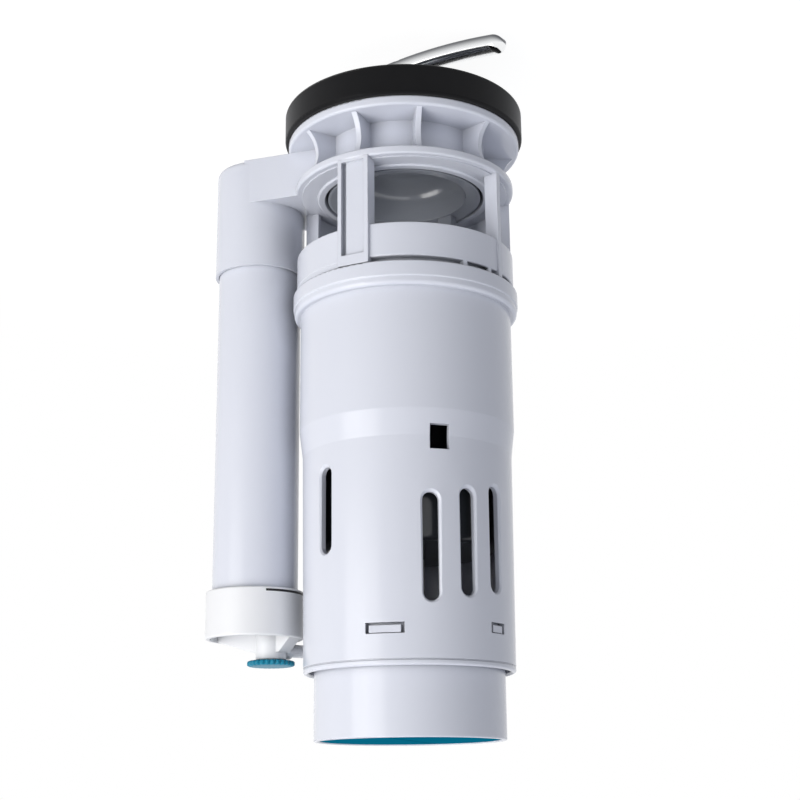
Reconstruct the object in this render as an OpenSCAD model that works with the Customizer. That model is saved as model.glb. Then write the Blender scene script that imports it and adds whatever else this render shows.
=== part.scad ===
// Toilet flush valve with a side overflow tube, in millimetres, +Z up as it stands in the tank.
// The origin is the centre of the gasket's lower face, and the overflow tube stands on +X.

/* [Gasket and base] */
// Outer diameter of the tank gasket
gasket_d = 108.8; // [104:0.1:120]
// Thickness of the tank gasket
gasket_h = 14; // [10:0.5:18]
// How far the gasket stands out past the base flange
gasket_reveal = 1.6; // [1:0.1:3]
// Thickness of the base flange
flange_h = 4.4; // [3:0.1:6]
// Height of the ribbed neck between the flange and the seat ring
neck_h = 17.4; // [16:0.2:22]
// Thickness of the seat ring
seat_ring_h = 3.8; // [3:0.1:5]
// Height of the sealing lip above the seat ring
lip_h = 1.4; // [1:0.1:2.5]
// Width of the sealing lip
lip_w = 3.3; // [2.4:0.1:4]
// Diameter of the throat under the seat
throat_d = 66; // [62:1:67]
// Height of the funnel between the throat and the lip
funnel_h = 8; // [6:0.5:9]
// Radial width of the funnel
funnel_w = 3.2; // [2.6:0.1:4.6]
// Wall of the neck around the throat
neck_wall = 3.9; // [3:0.1:5]
// Height of the flush windows
window_h = 30.9; // [26:0.1:36]
// Height of the bayonet collar above the windows
collar_h = 15.1; // [14:0.1:18]
// Width of the front window post
post_w = 14.6; // [11:0.1:16]
// Width of the narrow window posts
side_post_w = 2.6; // [2:0.1:4]
// Thickness of the neck ribs
rib_t = 2.4; // [1.6:0.1:3.2]
// Depth of the hollow in the outer edge of each neck rib
rib_hollow = 3.8; // [2:0.1:5]

/* [Tower] */
// Outer diameter of the tower's lower half
tower_d = 93.4; // [90:0.2:100]
// Height of the lower half, from the foot of the tower
tower_lower_h = 62.7; // [58:0.1:75]
// Height of the conical step
tower_cone_h = 11.2; // [6:0.1:16]
// Height of the upper half
tower_upper_h = 92.2; // [90:0.1:110]
// Radial step between the two halves
tower_step = 1.4; // [0.6:0.1:2]
// Draft of the upper half, in radius
tower_draft = 0.8; // [0:0.1:1.2]
// Wall of the tower
tower_wall = 2.4; // [2:0.1:3]
// Gap between the base collar and the foot of the tower
tower_gap = 2.5; // [1:0.1:4]
// Height of the foot ring
foot_ring_h = 7; // [5:0.1:9]
// Height of the bead above the foot ring
bead_h = 3.3; // [2.6:0.1:5]
// Width of the vent slots
slot_w = 6.8; // [5:0.1:8]
// Length of the upper vent slots
slot_h = 43.8; // [30:0.1:46]
// Length of the single lower vent slot
low_slot_h = 36; // [24:0.5:40]
// Unlocking turn of the bayonet, in degrees
twist = 25; // [18:1:30]

/* [Top collar and buttons] */
// How far the top collar stands above the tower
top_collar_h = 27.3; // [25:0.1:34]
// Width of the ring gap between the top collar and the tower
top_collar_gap = 2.1; // [1.6:0.1:2.6]
// Wall of the top collar
top_collar_wall = 2; // [1.6:0.1:2.4]
// Thickness of the button plates
button_t = 2.5; // [2:0.1:4]
// Depth of the button plates below the collar's rim
button_recess = 0.4; // [0.2:0.1:2]
// Diameter of the push rods
rod_d = 5; // [4:0.1:5.6]

/* [Rockers] */
// Distance from a rocker's pivot to its lifting tip
lift_arm = 18; // [16:0.1:18.4]
// Distance from a rocker's pivot to its pressed end
press_arm = 13; // [11:0.1:13.4]
// Slope of a resting rocker, in degrees, and half its swing
rock = 20; // [14:0.5:21]
// Diameter of the rocker pins
pin_d = 3; // [2:0.1:4]
// Thickness of the rocker frame's plate
frame_t = 3; // [2:0.1:4]

/* [Poppet and floats] */
// Diameter of the lift stem
stem_d = 12; // [9:0.1:12.4]
// Thickness of the seat seal
seal_t = 3.5; // [2.5:0.1:4.5]
// Wall of the poppet cup and the floats
cup_wall = 1.8; // [1.2:0.1:2.6]
// Diameter of the full-flush float
full_float_d = 72; // [60:1:78]
// Height of the full-flush float
full_float_h = 38; // [28:0.5:42]
// Diameter of the half-flush float
half_float_d = 76; // [60:1:78]
// Height of the half-flush float
half_float_h = 35; // [25:0.5:36]

/* [Overflow and refill] */
// Outer diameter of the overflow tube
tube_d = 37.6; // [32:0.2:40]
// Wall of the overflow tube
tube_wall = 1.8; // [1.4:0.1:2.4]
// Height of the overflow tube's mouth above the tank floor
overflow_h = 232; // [215:1:245]
// Height of the tube socket above the tank floor
socket_h = 70; // [60:1:80]
// Height of the refill cap
cap_h = 20.7; // [16:0.1:26]
// How far the cap's rim stands above the tube
cap_rim = 4.7; // [3.4:0.1:6]
// Height of the refill stem above the cap's rim
refill_stem_h = 8.9; // [8.6:0.1:13]
// Diameter of the refill stem
refill_stem_d = 13.2; // [11.6:0.1:14]
// Diameter of the refill knob
knob_d = 20.6; // [16:0.1:24]
// Outer diameter of the hose nozzle
nozzle_d = 5.6; // [4.6:0.1:6]
// Reach of the hose nozzle from the stem's axis
nozzle_l = 24; // [18:0.5:30]

/* [Clamp] */
// Length of the clamp bar
bar_l = 115; // [100:1:120]
// Width of the clamp bar
bar_w = 9.6; // [8.6:0.1:14]
// Thickness of the clamp bar
bar_t = 7; // [5:0.1:9]
// Rise of the clamp bar's ends above its middle
bar_bow = 6; // [3:0.1:8]
// Depth of the clamp bar's middle below the gasket
bar_drop = 29.5; // [27:0.5:38]
// Diameter of the draw bolt
bolt_d = 8; // [6:0.5:8]

/* [Hidden] */
$fn = 96;
over = 1;
part_gap = 0.3;
run_fit = 0.05;
stem_fit = 0.1;
twist_gap = 0.6;
sink = 0.5;
edge = 1;
flange_edge = 1.2;
grey = [0.86, 0.87, 0.91];
white = [0.95, 0.95, 0.96];
teal = [0.06, 0.5, 0.61];
black = [0.13, 0.13, 0.14];
smoke = [0.30, 0.31, 0.33];
steel = [0.78, 0.79, 0.8];

// Radii of the base and the tower
gasket_r = gasket_d / 2;
flange_r = gasket_r - gasket_reveal;
throat_r = throat_d / 2;
neck_r = throat_r + neck_wall;
spigot_wall = 2.6;
spigot_r = throat_r + spigot_wall;
spigot_z = 2;
lip_in_r = throat_r + funnel_w;
lip_out_r = lip_in_r + lip_w;
float_gap = 3.6;
float_r = max(full_float_d, half_float_d) / 2;
tower_r = max(tower_d / 2, float_r + float_gap + tower_wall + tower_draft + tower_step);
upper_low_r = tower_r - tower_step;
upper_r = upper_low_r - tower_draft;
upper_in_r = upper_r - tower_wall;
lower_in_r = tower_r - tower_wall - 0.3;
foot_r = tower_r - 2.3;
foot_in_r = foot_r - tower_wall;
lug_r = foot_r + 2.3;
collar_in_r = foot_r + twist_gap;
groove_r = lug_r + 0.4;
collar_r = groove_r + 1.3;
seat_ring_r = collar_r + 1.1;
seat_step_r = seat_ring_r - 2.9;
seat_step_h = 0.5;
foot_ring_r = collar_r + 1.6;
post_in_r = collar_in_r - 2;
post_out_r = collar_r + 0.8;

// Heights of the base and the tower
flange_z = gasket_h;
neck_z = flange_z + flange_h;
ring_z = neck_z + neck_h;
ring_top_z = ring_z + seat_ring_h;
lip_z = ring_top_z + lip_h;
collar_z = ring_top_z + window_h;
collar_top_z = collar_z + collar_h;
tower_z = collar_top_z + tower_gap;
foot_line_z = tower_z + foot_ring_h;
bead_z = foot_line_z + bead_h;
cone_z = tower_z + tower_lower_h;
upper_z = cone_z + tower_cone_h;
tower_top_z = upper_z + tower_upper_h;
rim_z = tower_top_z + top_collar_h;

// Posts, ribs and bayonet
key_angle = -81.5;
side_angles = [5, 150, 195];
back_wall = [5, 150];
rib_angles = [51, 83, 116, 155];
post_rise = tower_gap - part_gap;
key_left_rib = 2;
key_right_rib = 1.8;
key_panel_r = post_out_r - 1.3;
key_groove_w = 1.7;
key_groove_r = post_out_r - 2.7;
key_foot_z = ring_top_z + 0.8;
key_head_z = collar_top_z - 2.4;
lug_h = 4;
lug_arc = 14;
lug_rise = 5.5;
lug_z = collar_z + lug_rise;
lug_angles = [for (i = [0:3]) -35 + 90 * i];
foot_z = collar_z + 1.5;

// Raised pieces on the collar's top: angle, arc and gap under the tower
collar_tabs = [[-48, 50, 0.6], [-157, 2.5, part_gap], [-140, 2.5, part_gap]];
tab_inset = 0.25;
tab_sink = 1;

// Windows of the tower, the same on both sides. A snap window has an angle, a width and a drop
vent_angles = [-161, -141, -120];
low_vent_angle = -59;
vent_stagger = 2.6;
vent_top_z = tower_top_z - 30.2;
low_vent_drop = 46.5;
low_vent_top_z = tower_top_z - low_vent_drop;
vent_bevel = 0.8;
port_angle = -125.1;
port_w = 8.3;
port_h = 10.4;
port_z = upper_z - 4.8;
snap_z = tower_top_z - 16.7;
snap_h = 4.3;
wide_snap = [-95.5, 15.8, 0];
narrow_snap = [-162, 9.4, 1.3];
snap_slack = 1.4;

// Clamp and its hub in the throat
bolt_r = bolt_d / 2;
hub_r = bolt_r + 5;
hub_z = 4;
hub_h = 8;
spoke_w = 4;
spoke_step = 1;
spoke_sink = 1.2;
washer_t = 1.6;
bolt_head_h = 5;
hex_af = 13;
nut_h = 6.5;
bar_angle = 19;

// Rockers: the full one on -X, the half one on +X and a little to the back
frame_r = upper_in_r - part_gap;
frame_z = tower_top_z - 25;
frame_top_z = frame_z + frame_t;
frame_boss_h = 2.2;
frame_hole_r = frame_r / 6;
frame_hole_x = 0.69 * frame_r;
pivot_z = frame_top_z + 11;
tip_r = 2;
blade_t = 2.4;
hub_wall = 2.4;
stem_r = stem_d / 2;
prong_in = stem_r + 0.6;
prong_w = 3;
prong_out = prong_in + prong_w;
ear_t = 3;
ear_w = 10;
ear_gap = 0.5;
half_y = prong_out + 1.4;
half_blade_w = 2.6;
half_rod_r = 2;
half_rod_y = half_y + half_blade_w + half_rod_r + 0.4;
half_hub = [prong_out - 1.6, half_rod_y + 0.4];
press_x = lift_arm + press_arm;
rod_r = rod_d / 2;
half_press_y = half_y + 0.1;
lift = 2 * lift_arm * sin(rock);
head_z = pivot_z - lift_arm * sin(rock) + tip_r + part_gap;
head_w = 5;
head_h = 3;
rod_end_z = pivot_z + press_arm * sin(rock) + tip_r + part_gap;

// Top collar and buttons
collar2_r = upper_in_r - top_collar_gap;
collar2_in_r = collar2_r - top_collar_wall;
skirt_r = upper_in_r - part_gap;
skirt_step = 4;
skirt_top_z = tower_top_z - skirt_step;
deck_z = tower_top_z + 2.8;
deck_t = 3;
button_top_z = rim_z - button_recess;
button_z = button_top_z - button_t;
button_r = collar2_in_r - 0.4;
button_split = 0.8;
spring_wire_r = 0.5;
spring_r = rod_r + 1.5;
spring_turns = 6;

// Poppet and floats
cone_slope = funnel_w / funnel_h;
funnel_z = lip_z - funnel_h;
seal_drop = 6;
seal_z = lip_z - seal_drop;
seal_top_z = seal_z + seal_t;
seal_low_r = throat_r + (seal_z - funnel_z) * cone_slope - part_gap * 1.2;
seal_top_r = seal_low_r + seal_t * cone_slope;
seal_plate_t = 2;
seal_plate_r = throat_r - 0.4;
stem_bore_r = stem_r + stem_fit;
boss_r = stem_r + 3;
bolt_gap = 0.7;
cup_z = hub_z + hub_h + washer_t + bolt_head_h + bolt_gap;
cup_r = throat_r - 3;
cup_in_r = cup_r - cup_wall;
cup_round = 12;
cup_flange_t = 2.2;
cup_flange_r = seal_top_r - 0.2;
cup_rim_w = 1;
cup_rim_drop = 1.2;
cup_top_z = seal_top_z + cup_flange_t;
hub_lift = 2;

// Yoke that hangs the bowl from the stem, with its bar and hub above the windows
yoke_angle = -67;
yoke_w = 8;
yoke_t = 3.4;
yoke_h = 6;
yoke_in_r = cup_in_r + 0.6;
yoke_out_r = yoke_in_r + yoke_t;
yoke_foot_z = seal_top_z + 0.4;
yoke_z = collar_z + 5.5;
yoke_top_z = yoke_z + yoke_h;
yoke_hub_z = yoke_z - 1;
yoke_hub_top_z = yoke_top_z + 1;
seal_nut_h = 3.7;
seal_nut_af = 2 * stem_r + 8;
seal_nut_z = yoke_hub_z - seal_nut_h;
stem_end_z = seal_nut_z - sink;
collar_t = 2.5;
guide_z = bead_z + 8;
guide_h = 4;
guide_w = 4;
guide_boss_z = guide_z - 3;
guide_top_z = guide_z + guide_h + 1;
ledge_w = 3;
ledge_h = 7;
full_float_z = guide_z + guide_h + 3;
half_float_top_z = frame_z - 2 * lift - 1.2;
half_float_z = half_float_top_z - half_float_h;

// Overflow and refill
tube_r = tube_d / 2;
tube_in_r = tube_r - tube_wall;
socket_wall = 1.4;
socket_bore_r = tube_r + part_gap;
socket_r = socket_bore_r + socket_wall;
socket_x = foot_ring_r + socket_r + 0.5;
socket_round = 2.5;
tube_seat_z = ring_z - 1;
tube_seal_t = 2;
tube_z = tube_seat_z + tube_seal_t;
duct_r = min(6, (neck_h - funnel_h) / 2 + 1.3);
duct_z = neck_z + 2 + duct_r;
duct_half_w = socket_r - 0.2;
cap_r = tube_r + 2.6;
cap_bore_r = tube_r + part_gap;
cap_ledge_t = 1.6;
cap_mouth_r = cap_r - 2;
cap_top_z = overflow_h + cap_rim;
cap_z = cap_top_z - cap_h;
refill_stem_r = refill_stem_d / 2;
refill_stem_x = -8;
refill_stem_z = cap_z + 9;
refill_top_z = cap_top_z + refill_stem_h;
web_t = 2.4;
web_turn = 9;
web_wide = 8.6;
web_top_z = refill_top_z - 2.9;
web_foot_z = overflow_h + cap_ledge_t;
web_rim_z = cap_top_z - 0.4;
web_end_r = cap_mouth_r + 0.8;
web_mid = -refill_stem_x * cos(web_turn);
web_reach = sqrt(pow(web_end_r, 2) - pow(refill_stem_x * sin(web_turn), 2));
plug_r = 3.2;
plug_z = refill_stem_z + 3;
plug_top_z = refill_top_z + 1.5;
port_r = 1.6;
nozzle_r = nozzle_d / 2;
nozzle_z = cap_top_z + 4.4;
nozzle_turn = 32;
knob_z = refill_top_z + part_gap;
knob_h = 2.7;
knob_flutes = 26;
gland_r = 4.6;
gland_h = 2.6;
o_ring_r = 0.6;

// Rectangle with rounded corners, for turning
module round_section(x0, x1, z0, z1, e) {
    translate([x0 + e, z0]) square([x1 - x0 - 2 * e, z1 - z0]);
    translate([x0, z0 + e]) square([x1 - x0, z1 - z0 - 2 * e]);
    for (x = [x0 + e, x1 - e], z = [z0 + e, z1 - e]) translate([x, z]) circle(e);
}

// Half a cup with a round lower corner, for turning
module cup_section(r, z0, z1, e) {
    translate([0, z0]) square([r - e, e]);
    translate([0, z0 + e]) square([r, z1 - z0 - e]);
    intersection() {
        translate([r - e, z0 + e]) circle(e);
        translate([0, z0]) square([r, e]);
    }
}

// Ring turned from a rounded rectangle
module round_ring(r_in, r_out, z0, z1, e) {
    rotate_extrude() round_section(r_in, r_out, z0, z1, e);
}

// Plain cylinder between two heights
module post(r, z0, z1) {
    translate([0, 0, z0]) cylinder(r = r, h = z1 - z0);
}

// Plain ring between two heights
module ring(r_in, r_out, z0, z1) {
    difference() {
        post(r_out, z0, z1);
        post(r_in, z0 - over, z1 + over);
    }
}

// Piece of a ring, centred on one angle
module arc_block(r_in, r_out, z0, z1, angle, arc) {
    rotate([0, 0, angle - arc / 2])
        rotate_extrude(angle = arc)
            translate([r_in, z0]) square([r_out - r_in, z1 - z0]);
}

// Hexagonal nut blank with a round bore
module hex_nut(af, bore_r, z0, z1) {
    difference() {
        translate([0, 0, z0]) cylinder(d = af / cos(30), h = z1 - z0, $fn = 6);
        post(bore_r, z0 - over, z1 + over);
    }
}

// Cylinder that lies along Y
module y_pin(r, y0, y1) {
    translate([0, y0, 0]) rotate([-90, 0, 0]) cylinder(r = r, h = y1 - y0);
}

// Coil spring of round wire, standing on its foot
function coil_ring(i, n, r, wire, h, turns) = [
    for (k = [0:7])
        let (a = 360 * turns * i / n, b = 45 * k, d = r + wire * cos(b))
        [d * cos(a), d * sin(a), h * i / n + wire * sin(b)]
];
module coil(r, wire, h, turns) {
    n = turns * 16;
    points = [for (i = [0:n]) each coil_ring(i, n, r, wire, h, turns)];
    sides = [
        for (i = [0:n - 1], k = [0:7])
            let (a = 8 * i, m = (k + 1) % 8) [a + k, a + 8 + k, a + 8 + m, a + m]
    ];
    foot = [for (k = [0:7]) k];
    head = [for (k = [7:-1:0]) 8 * n + k];
    polyhedron(points, concat(sides, [foot, head]));
}

// One stiffening rib of the neck, with its hollow outer edge
module neck_rib() {
    low_r = flange_r - flange_edge - 0.4;
    top_r = seat_ring_r - edge - 0.4;
    height = neck_h + 2 * sink;
    chord = norm([low_r - top_r, height]);
    hollow_r = (pow(chord / 2, 2) + pow(rib_hollow, 2)) / (2 * rib_hollow);
    out = hollow_r - rib_hollow;
    lean = atan2(low_r - top_r, height);
    rotate([90, 0, 0]) linear_extrude(rib_t, center = true) difference() {
        polygon([
            [neck_r - over, neck_z - sink],
            [low_r + sink, neck_z - sink],
            [top_r + sink, ring_z + sink],
            [neck_r - over, ring_z + sink]
        ]);
        translate([(low_r + top_r) / 2 + out * cos(lean), neck_z + neck_h / 2 + out * sin(lean)])
            circle(hollow_r);
    }
}

// One window post: deep below the collar, and a strip where it runs up over it
module window_post(w) {
    strip_r = collar_in_r + 1;
    translate([post_in_r, -w / 2, ring_top_z - sink])
        cube([post_out_r - post_in_r, w, window_h + 2 * sink]);
    translate([strip_r, -w / 2, collar_z - over])
        cube([post_out_r - strip_r, w, collar_h + over + post_rise]);
}

// Channel in the face of the front post, with a deeper groove beside its right rib
module key_cut() {
    left = key_left_rib - post_w / 2;
    right = post_w / 2 - key_right_rib;
    rotate([0, 0, key_angle]) translate([0, 0, key_foot_z]) linear_extrude(key_head_z - key_foot_z)
        polygon([
            [key_panel_r, left],
            [post_out_r + over, left],
            [post_out_r + over, right],
            [key_groove_r, right],
            [key_groove_r, right - key_groove_w],
            [key_panel_r, right - key_groove_w]
        ]);
}

// Socket and branch duct of the overflow, as a solid
module overflow_branch() {
    translate([socket_x, 0, 0]) {
        rotate_extrude() cup_section(socket_r, neck_z, socket_h, socket_round);
    }
    translate([neck_r / 2, -duct_half_w, neck_z])
        cube([socket_x - neck_r / 2, 2 * duct_half_w, ring_top_z - neck_z]);
}

// Water way from the overflow socket into the throat
module overflow_way() {
    translate([socket_x, 0, 0]) {
        post(socket_bore_r, tube_seat_z, socket_h + over);
        post(tube_in_r - 1, duct_z, tube_seat_z + over);
    }
    translate([throat_r - 4, 0, duct_z]) rotate([0, 90, 0])
        cylinder(r = duct_r, h = socket_x - throat_r + 4);
}

// Groove and entry channels of the bayonet
module bayonet_cut() {
    for (a = lug_angles) {
        arc_block(foot_r, groove_r, lug_z - part_gap, lug_z + lug_h + part_gap,
            a - twist / 2, twist + lug_arc + 2);
        arc_block(foot_r, groove_r, lug_z, tower_z + over, a - twist, lug_arc + 2);
    }
}

// Turned outside of the base: spigot, flange, neck, seat ring with its step, and lip
module base_turned() {
    rotate_extrude() {
        translate([0, spigot_z]) square([spigot_r, flange_z]);
        translate([0, flange_z]) square([neck_r, ring_top_z - flange_z]);
        round_section(0, flange_r, flange_z, neck_z, flange_edge);
        round_section(0, seat_ring_r, ring_z, ring_top_z, edge);
        translate([0, ring_z + edge]) square([seat_step_r, seat_ring_h - edge + seat_step_h]);
        round_section(0, lip_out_r, ring_z + edge, lip_z, 0.9);
    }
}

// Moulded base: flange, ribbed neck, seat, window posts, bayonet collar and overflow socket
module base() {
    color(grey) {
        difference() {
            union() {
                base_turned();
                for (a = rib_angles, side = [-1, 1]) rotate([0, 0, side * a]) neck_rib();
                rotate([0, 0, key_angle]) window_post(post_w);
                for (a = side_angles) rotate([0, 0, a]) window_post(side_post_w);
                arc_block(collar_in_r + tab_inset, collar_r - tab_inset, ring_top_z - sink,
                    collar_z + tab_sink, (back_wall[0] + back_wall[1]) / 2, back_wall[1] - back_wall[0]);
                round_ring(collar_in_r, collar_r, collar_z, collar_top_z, 0.6);
                for (t = collar_tabs) arc_block(collar_in_r + tab_inset, collar_r - tab_inset,
                    collar_top_z - tab_sink, tower_z - t[2], t[0], t[1]);
                overflow_branch();
            }
            rotate_extrude() polygon([
                [0, spigot_z - over],
                [throat_r, spigot_z - over],
                [throat_r, funnel_z],
                [lip_in_r + over * cone_slope, lip_z + over],
                [0, lip_z + over]
            ]);
            overflow_way();
            key_cut();
            bayonet_cut();
        }
        difference() {
            union() {
                post(hub_r, hub_z, hub_z + hub_h);
                for (i = [0:2]) rotate([0, 0, 90 + 120 * i])
                    translate([hub_r - spoke_sink, -spoke_w / 2, hub_z + spoke_step])
                        cube([throat_r - hub_r + 2 * spoke_sink, spoke_w, hub_h - 2 * spoke_step]);
            }
            post(bolt_r + run_fit, hub_z - over, hub_z + hub_h + over);
        }
    }
}

// Thick rubber ring between the flange and the tank floor
module tank_gasket() {
    color(black) round_ring(spigot_r + 0.2, gasket_r, 0, gasket_h, 1.4);
}

// Bolt that draws the clamp bar up
module draw_bolt() {
    head_z0 = hub_z + hub_h + washer_t;
    color(steel) {
        translate([0, 0, head_z0]) cylinder(d = hex_af / cos(30), h = bolt_head_h, $fn = 6);
        post(bolt_r, 1 - bar_drop, head_z0 + 1);
    }
}

// Washer under the bolt's head
module bolt_washer() {
    color(steel) ring(bolt_r + run_fit, hub_r - 0.5, hub_z + hub_h, hub_z + hub_h + washer_t);
}

// Bowed bar with round ends that grips the tank floor from below
module clamp_bar() {
    bow_r = (pow(bar_l / 2, 2) + pow(bar_bow, 2)) / (2 * bar_bow);
    half_arc = asin(bar_l / 2 / bow_r) + 2;
    color(steel) rotate([0, 0, bar_angle]) difference() {
        intersection() {
            translate([0, 0, bow_r - bar_drop]) rotate([90, 0, 0]) rotate([0, 0, -90 - half_arc])
                rotate_extrude(angle = 2 * half_arc)
                    round_section(bow_r - bar_t, bow_r, -bar_w / 2, bar_w / 2, 2.2);
            translate([0, 0, -2 * bar_drop]) linear_extrude(2 * bar_drop) {
                square([bar_l - bar_w, bar_w + 2], center = true);
                for (side = [-1, 1]) translate([side * (bar_l - bar_w) / 2, 0]) circle(bar_w / 2);
            }
        }
        post(bolt_r + 0.4, -bar_drop - over, over);
    }
}

// Nut on the clamp bar
module clamp_nut() {
    top = bar_t - bar_drop;
    color(steel) rotate([0, 0, bar_angle]) hex_nut(hex_af, bolt_r + run_fit, top + 0.1, top + nut_h);
}

// Side tube that drains the tank if it overfills
module overflow_tube() {
    color(grey) translate([socket_x, 0, 0]) ring(tube_in_r, tube_r, tube_z, overflow_h);
}

// Flat seal under the overflow tube
module tube_seal() {
    color(black) translate([socket_x, 0, 0]) ring(tube_in_r - 0.6, tube_r, tube_seat_z, tube_z);
}

// One arm of the refill bridge, from the stem's axis out to the cap's rim
module web_arm(t, reach, shoulder) {
    linear_extrude(t, center = true) polygon([
        [0, web_foot_z],
        [reach, web_foot_z],
        [reach, web_rim_z],
        [shoulder, web_top_z],
        [0, web_top_z]
    ]);
}

// White cap on the overflow tube, with the bridge that holds the refill stem and its nozzle
module refill_cap() {
    color(white) translate([socket_x, 0, 0]) difference() {
        union() {
            rotate_extrude() difference() {
                round_section(tube_in_r + 0.3, cap_r, cap_z, cap_top_z, 0.8);
                square([cap_bore_r, overflow_h]);
                translate([0, overflow_h + cap_ledge_t]) square([cap_mouth_r, cap_h]);
            }
            translate([refill_stem_x, 0, 0]) rotate([90, 0, web_turn]) {
                web_arm(web_t, web_mid + web_reach, refill_stem_r);
                web_arm(web_wide, web_mid - web_reach, -refill_stem_r);
            }
            translate([refill_stem_x, 0, 0]) post(refill_stem_r, refill_stem_z, refill_top_z);
            translate([refill_stem_x, 0, nozzle_z]) rotate([0, 0, nozzle_turn]) {
                y_pin(nozzle_r, 0, nozzle_l);
                y_pin(nozzle_r + 1, 0, refill_stem_r + 3);
            }
        }
        translate([refill_stem_x, 0, 0]) {
            post(plug_r + run_fit, refill_stem_z - over, refill_top_z + over);
            post(gland_r, refill_top_z - gland_h, refill_top_z + over);
            translate([0, 0, nozzle_z]) rotate([0, 0, nozzle_turn]) y_pin(port_r, 0, nozzle_l + over);
        }
    }
}

// Fluted knob of the refill cock
module refill_knob() {
    color(teal) translate([socket_x + refill_stem_x, 0, knob_z]) difference() {
        intersection() {
            linear_extrude(knob_h) difference() {
                circle(knob_d / 2);
                for (i = [0:knob_flutes - 1]) rotate(360 * i / knob_flutes)
                    translate([knob_d / 2 + 0.3, 0]) circle(0.9, $fn = 24);
            }
            rotate_extrude() polygon([
                [0, -over],
                [knob_d / 2 - 1, -over],
                [knob_d / 2 + 0.4, 0.6],
                [knob_d / 2 + 0.4, knob_h - 0.6],
                [knob_d / 2 - 1, knob_h + over],
                [0, knob_h + over]
            ]);
        }
        post(plug_r + run_fit, -over, plug_top_z - knob_z + 0.1);
        post(knob_d / 2 - 2.4, knob_h - 0.5, knob_h + over);
    }
}

// Plug of the refill cock, with its port
module regulator_plug() {
    color(white) translate([socket_x + refill_stem_x, 0, 0]) difference() {
        post(plug_r, plug_z, plug_top_z);
        translate([0, 0, nozzle_z]) rotate([0, 0, nozzle_turn]) y_pin(port_r, 0, plug_r + over);
        post(port_r, plug_z - over, nozzle_z + port_r);
    }
}

// O-ring that seals the plug in the stem
module knob_seal() {
    color(black) translate([socket_x + refill_stem_x, 0, refill_top_z - gland_h / 2])
        rotate_extrude() translate([plug_r + o_ring_r + run_fit, 0]) circle(o_ring_r, $fn = 32);
}

// Slot with round ends and a bevelled mouth, cut from outside at one angle
module vent_cut(angle, z0, z1, r) {
    mouth = slot_w / 2 + 2 * vent_bevel;
    rotate([0, 0, angle]) {
        translate([r - 7, -slot_w / 2, z0 + slot_w / 2]) cube([10, slot_w, z1 - z0 - slot_w]);
        translate([0, 0, z0 + slot_w / 2]) linear_extrude(z1 - z0 - slot_w) polygon([
            [r - vent_bevel, -slot_w / 2],
            [r + vent_bevel, -mouth],
            [r + vent_bevel, mouth],
            [r - vent_bevel, slot_w / 2]
        ]);
        for (z = [z0 + slot_w / 2, z1 - slot_w / 2]) translate([r, 0, z]) rotate([0, 90, 0]) {
            translate([0, 0, -7]) cylinder(r = slot_w / 2, h = 10);
            translate([0, 0, -vent_bevel]) cylinder(r1 = slot_w / 2, r2 = mouth, h = 2 * vent_bevel);
        }
    }
}

// Square window cut from outside at one angle
module window_cut(angle, w, z0, z1, r) {
    rotate([0, 0, angle]) translate([r - 6, -w / 2, z0]) cube([10, w, z1 - z0]);
}

// Wall of the tower, turned: foot with ring and bead, lower half, conical step, upper half, lip
module tower_wall_turned() {
    rotate_extrude() {
        translate([foot_in_r, foot_z]) square([foot_r - foot_in_r, foot_line_z - foot_z]);
        round_section(foot_in_r, foot_ring_r, tower_z, foot_line_z, 0.8);
        round_section(foot_in_r, foot_ring_r - 0.5, foot_line_z - 1.5, bead_z, 1.6);
        polygon([
            [lower_in_r, foot_line_z],
            [tower_r, foot_line_z],
            [tower_r, cone_z],
            [upper_low_r, upper_z],
            [upper_r, tower_top_z - 2],
            [upper_in_r, tower_top_z - 2],
            [upper_in_r, upper_z],
            [lower_in_r, cone_z]
        ]);
        round_section(upper_in_r, upper_r, tower_top_z - 5, tower_top_z, 1.1);
    }
}

// Long cylinder that guides the poppet and carries the rockers
module tower_body() {
    color(grey) {
        difference() {
            tower_wall_turned();
            for (turn = [0, 180]) rotate([0, 0, turn]) {
                for (i = [0:len(vent_angles) - 1]) {
                    top = vent_top_z + vent_stagger * i;
                    vent_cut(vent_angles[i], top - slot_h, top, upper_r + 0.2);
                }
                vent_cut(low_vent_angle, low_vent_top_z - low_slot_h, low_vent_top_z, upper_r + 0.4);
                window_cut(port_angle, port_w, port_z, port_z + port_h, upper_low_r);
                for (s = [wide_snap, narrow_snap])
                    window_cut(s[0], s[1], snap_z - s[2], snap_z - s[2] + snap_h, upper_r);
            }
            ring(upper_r - 0.4, upper_r + 2, tower_top_z - 2.6, tower_top_z - 2);
        }
        for (a = lug_angles) arc_block(foot_r - 0.5, lug_r, lug_z, lug_z + lug_h, a, lug_arc);
        difference() {
            union() {
                for (i = [0:3]) rotate([0, 0, 45 + 90 * i])
                    translate([0, -guide_w / 2, guide_z]) cube([lower_in_r + sink, guide_w, guide_h]);
                post(boss_r, guide_boss_z, guide_top_z);
            }
            post(stem_r + run_fit, guide_boss_z - over, guide_top_z + over);
        }
        for (i = [0:3]) rotate([0, 0, 90 * i])
            translate([upper_in_r - ledge_w, -ledge_w, frame_z - ledge_h])
                cube([ledge_w + sink, 2 * ledge_w, ledge_h]);
    }
}

// Pair of ears for one rocker pin
module ears(x, faces) {
    for (y = faces) translate([x, y, 0]) difference() {
        union() {
            translate([-ear_w / 2, 0, frame_top_z - 0.5]) cube([ear_w, ear_t, pivot_z - frame_top_z + 0.5]);
            translate([0, 0, pivot_z]) y_pin(ear_w / 2, 0, ear_t);
        }
        translate([0, 0, pivot_z]) y_pin(pin_d / 2 + run_fit, -over, ear_t + over);
    }
}

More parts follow.
